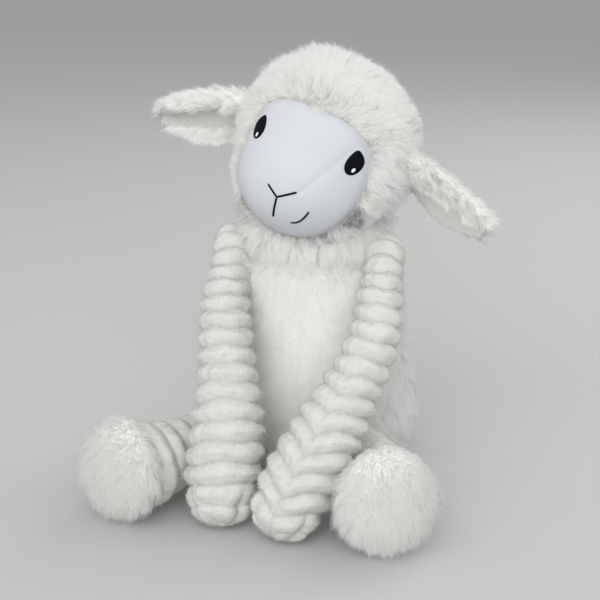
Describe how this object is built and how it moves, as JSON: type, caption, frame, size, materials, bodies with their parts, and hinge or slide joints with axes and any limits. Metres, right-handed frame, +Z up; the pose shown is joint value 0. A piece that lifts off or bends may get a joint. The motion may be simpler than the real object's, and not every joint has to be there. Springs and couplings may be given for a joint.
{
  "type": "plush sheep",
  "caption": "Sitting plush sheep with a fur body and head, a smooth embroidered face, drooping ears, long ribbed arms and short legs with round fur soles.",
  "frame": {"origin": "centre of the flat seat, on the floor", "axes": "+Z up, -Y the way the sheep faces, +X the sheep's own left"},
  "size_m": [0.2271, 0.2096, 0.265],
  "materials": {
    "fur": "cream-white long-pile fur",
    "ribbed_plush": "cream wide-ribbed plush",
    "smooth_plush": "cool white short-pile velboa",
    "dark_thread": "near-black satin-stitch embroidery",
    "white_thread": "white satin stitch",
    "filling": "white polyester filling",
    "pellet_bag": "plain cotton bag filled with pellets"
  },
  "bodies": {
    "seat": {"body_cover": "fur", "body_stuffing": "filling", "seat_pellet_bag": "pellet_bag", "tail": "fur"},
    "neck": {"neck_stuffing": "filling"},
    "head": {"head_cover": "fur", "bridge_panel": "smooth_plush", "muzzle_panel": "smooth_plush", "head_stuffing": "filling", "nose_stitch": "dark_thread", "nose_stem_stitch": "dark_thread", "mouth_stitch": "dark_thread", "eye_left": "dark_thread", "eye_right": "dark_thread", "eye_glint_left": "white_thread", "eye_glint_right": "white_thread"},
    "ear_left": {"ear_back_left": "fur", "ear_lining_left": "smooth_plush"},
    "arm_left": {"arm_cover_left": "ribbed_plush", "arm_stuffing_left": "filling"},
    "leg_left": {"leg_cover_left": "ribbed_plush", "leg_stuffing_left": "filling", "foot_sole_left": "fur"},
    "ear_right": {"ear_back_right": "fur", "ear_lining_right": "smooth_plush"},
    "arm_right": {"arm_cover_right": "ribbed_plush", "arm_stuffing_right": "filling"},
    "leg_right": {"leg_cover_right": "ribbed_plush", "leg_stuffing_right": "filling", "foot_sole_right": "fur"}
  },
  "joints": [
    {"name": "head_turn", "type": "hinge", "parent": "seat", "child": "neck", "pos_m": [0, 0, 0.155], "axis": [0, 0, 1], "range_deg": [-30, 30]},
    {"name": "head_tilt", "type": "hinge", "parent": "neck", "child": "head", "pos_m": [0, 0, 0.155], "axis": [0, 1, 0], "range_deg": [-22, 5]},
    {"name": "ear_flap_left", "type": "hinge", "parent": "head", "child": "ear_left", "pos_m": [0.06713, -0.00596, 0.19306], "axis": [0.3326, -0.5647, 0.7553], "range_deg": [-18, 35]},
    {"name": "ear_flap_right", "type": "hinge", "parent": "head", "child": "ear_right", "pos_m": [-0.04694, 0.00552, 0.22794], "axis": [0.0589, 0.5135, -0.856], "range_deg": [-18, 35]},
    {"name": "arm_lift_left", "type": "hinge", "parent": "seat", "child": "arm_left", "pos_m": [0.049, -0.013, 0.136], "axis": [-1, 0, 0], "range_deg": [0, 35]},
    {"name": "arm_lift_right", "type": "hinge", "parent": "seat", "child": "arm_right", "pos_m": [-0.049, -0.013, 0.136], "axis": [-1, 0, 0], "range_deg": [0, 35]},
    {"name": "leg_splay_left", "type": "hinge", "parent": "seat", "child": "leg_left", "pos_m": [0.044, -0.044, 0.0255], "axis": [0, 0, 1], "range_deg": [0, 35]},
    {"name": "leg_splay_right", "type": "hinge", "parent": "seat", "child": "leg_right", "pos_m": [-0.044, -0.044, 0.0255], "axis": [0, 0, -1], "range_deg": [0, 35]}
  ]
}
